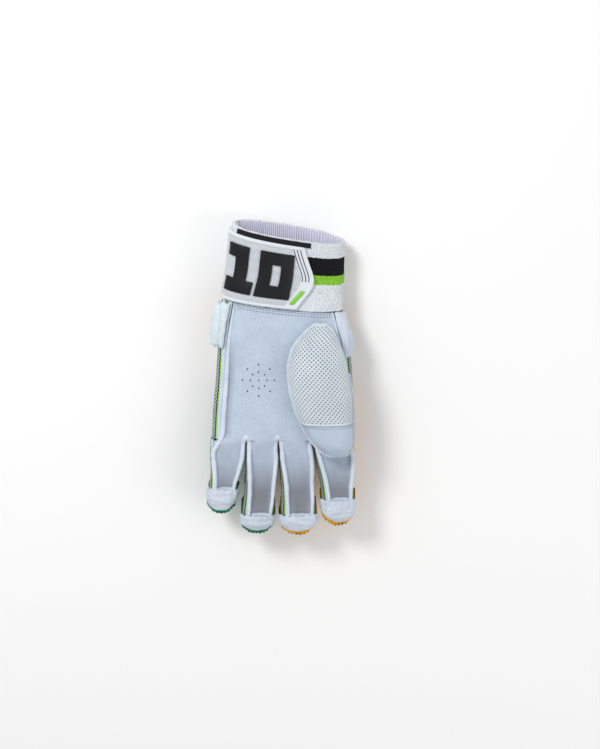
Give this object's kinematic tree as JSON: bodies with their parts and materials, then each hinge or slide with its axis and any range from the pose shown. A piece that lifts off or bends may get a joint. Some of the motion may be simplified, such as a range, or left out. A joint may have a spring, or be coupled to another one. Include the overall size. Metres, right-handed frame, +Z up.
{
  "type": "cricket batting glove",
  "caption": "Left-hand cricket batting glove: leather palm, padded finger rolls and back, towelling cuff with wrap strap, mesh thumb.",
  "frame": {"origin": "middle of the bounding box, at the level of the surface that the glove lies on, back down", "axes": "+X towards the thumb side, +Y towards the cuff, +Z up out of the palm"},
  "size_m": [0.147, 0.306, 0.0831],
  "materials": {
    "palm_leather": "soft white leather",
    "cuff_leather": "cream synthetic leather",
    "green_leather": "satin",
    "yellow_leather": "satin",
    "towelling": "looped pile",
    "lining": "rib knit",
    "white_mesh": "pierced mesh",
    "black_fabric": "matte",
    "strap_rubber": "embossed satin",
    "black_rubber": "gloss",
    "lime_rubber": "satin"
  },
  "bodies": {
    "root": {"wristband": "towelling", "lining": "lining", "cuff_panel": "cuff_leather", "palm": "palm_leather", "hand_back": "black_fabric", "wrist_pad": "yellow_leather", "back_pad_outer": "cuff_leather", "back_pad_inner": "cuff_leather", "knuckle_little": "green_leather", "stall_little": "black_fabric", "toe_cap_little": "palm_leather", "roll_little_lower": "green_leather", "roll_little_middle": "green_leather", "tip_little": "green_leather", "knuckle_ring": "green_leather", "stall_ring": "black_fabric", "toe_cap_ring": "palm_leather", "roll_ring_lower": "green_leather", "roll_ring_middle": "green_leather", "tip_ring": "green_leather", "knuckle_middle": "yellow_leather", "stall_middle": "black_fabric", "toe_cap_middle": "palm_leather", "roll_middle_lower": "yellow_leather", "roll_middle_middle": "yellow_leather", "tip_middle": "yellow_leather", "knuckle_index": "yellow_leather", "stall_index": "black_fabric", "toe_cap_index": "palm_leather", "roll_index_lower": "yellow_leather", "roll_index_middle": "yellow_leather", "tip_index": "yellow_leather", "thumb_mesh": "white_mesh", "thumb_tip": "palm_leather", "thumb_back": "palm_leather", "heel_roll": "palm_leather", "palm_ear": "palm_leather", "strap": "strap_rubber", "fastening_strip": "black_fabric", "figure_nought": "black_rubber", "figure_one": "black_rubber", "strap_bar": "lime_rubber"}
  },
  "joints": []
}
